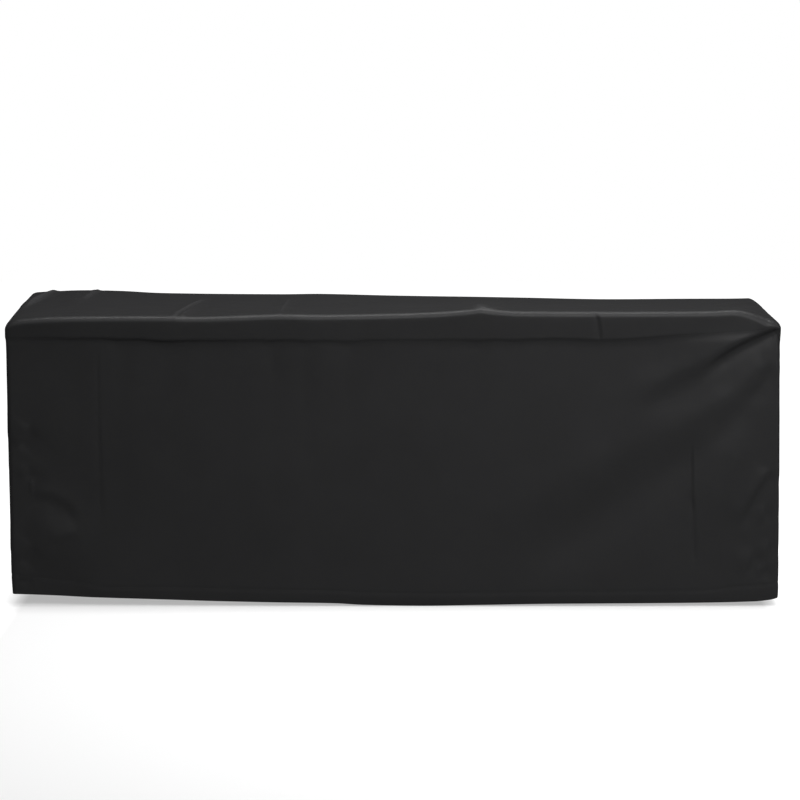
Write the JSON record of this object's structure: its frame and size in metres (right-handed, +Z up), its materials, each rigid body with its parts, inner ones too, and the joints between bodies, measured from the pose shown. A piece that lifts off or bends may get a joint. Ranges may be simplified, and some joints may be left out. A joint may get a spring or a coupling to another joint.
{
  "type": "fitted piano cover",
  "caption": "Black fitted cloth cover for a digital piano: a box of sewn panels, open at the bottom, with a border that turns down over the top edges and soft folds at its corners",
  "frame": {"origin": "underside of the top, in its middle, where the cloth rests on the instrument", "axes": "+X along the width, to the right as seen from the front; -Y towards the front; +Z up"},
  "size_m": [1.4167, 0.3924, 0.5507],
  "materials": {
    "top_cloth": "soft matte black cloth with a faint sheen",
    "drop_cloth": "soft matte black cloth"
  },
  "bodies": {
    "root": {"top_panel": "top_cloth", "front_panel": "drop_cloth", "back_panel": "drop_cloth", "left_end_panel": "drop_cloth", "right_end_panel": "drop_cloth"}
  },
  "joints": []
}
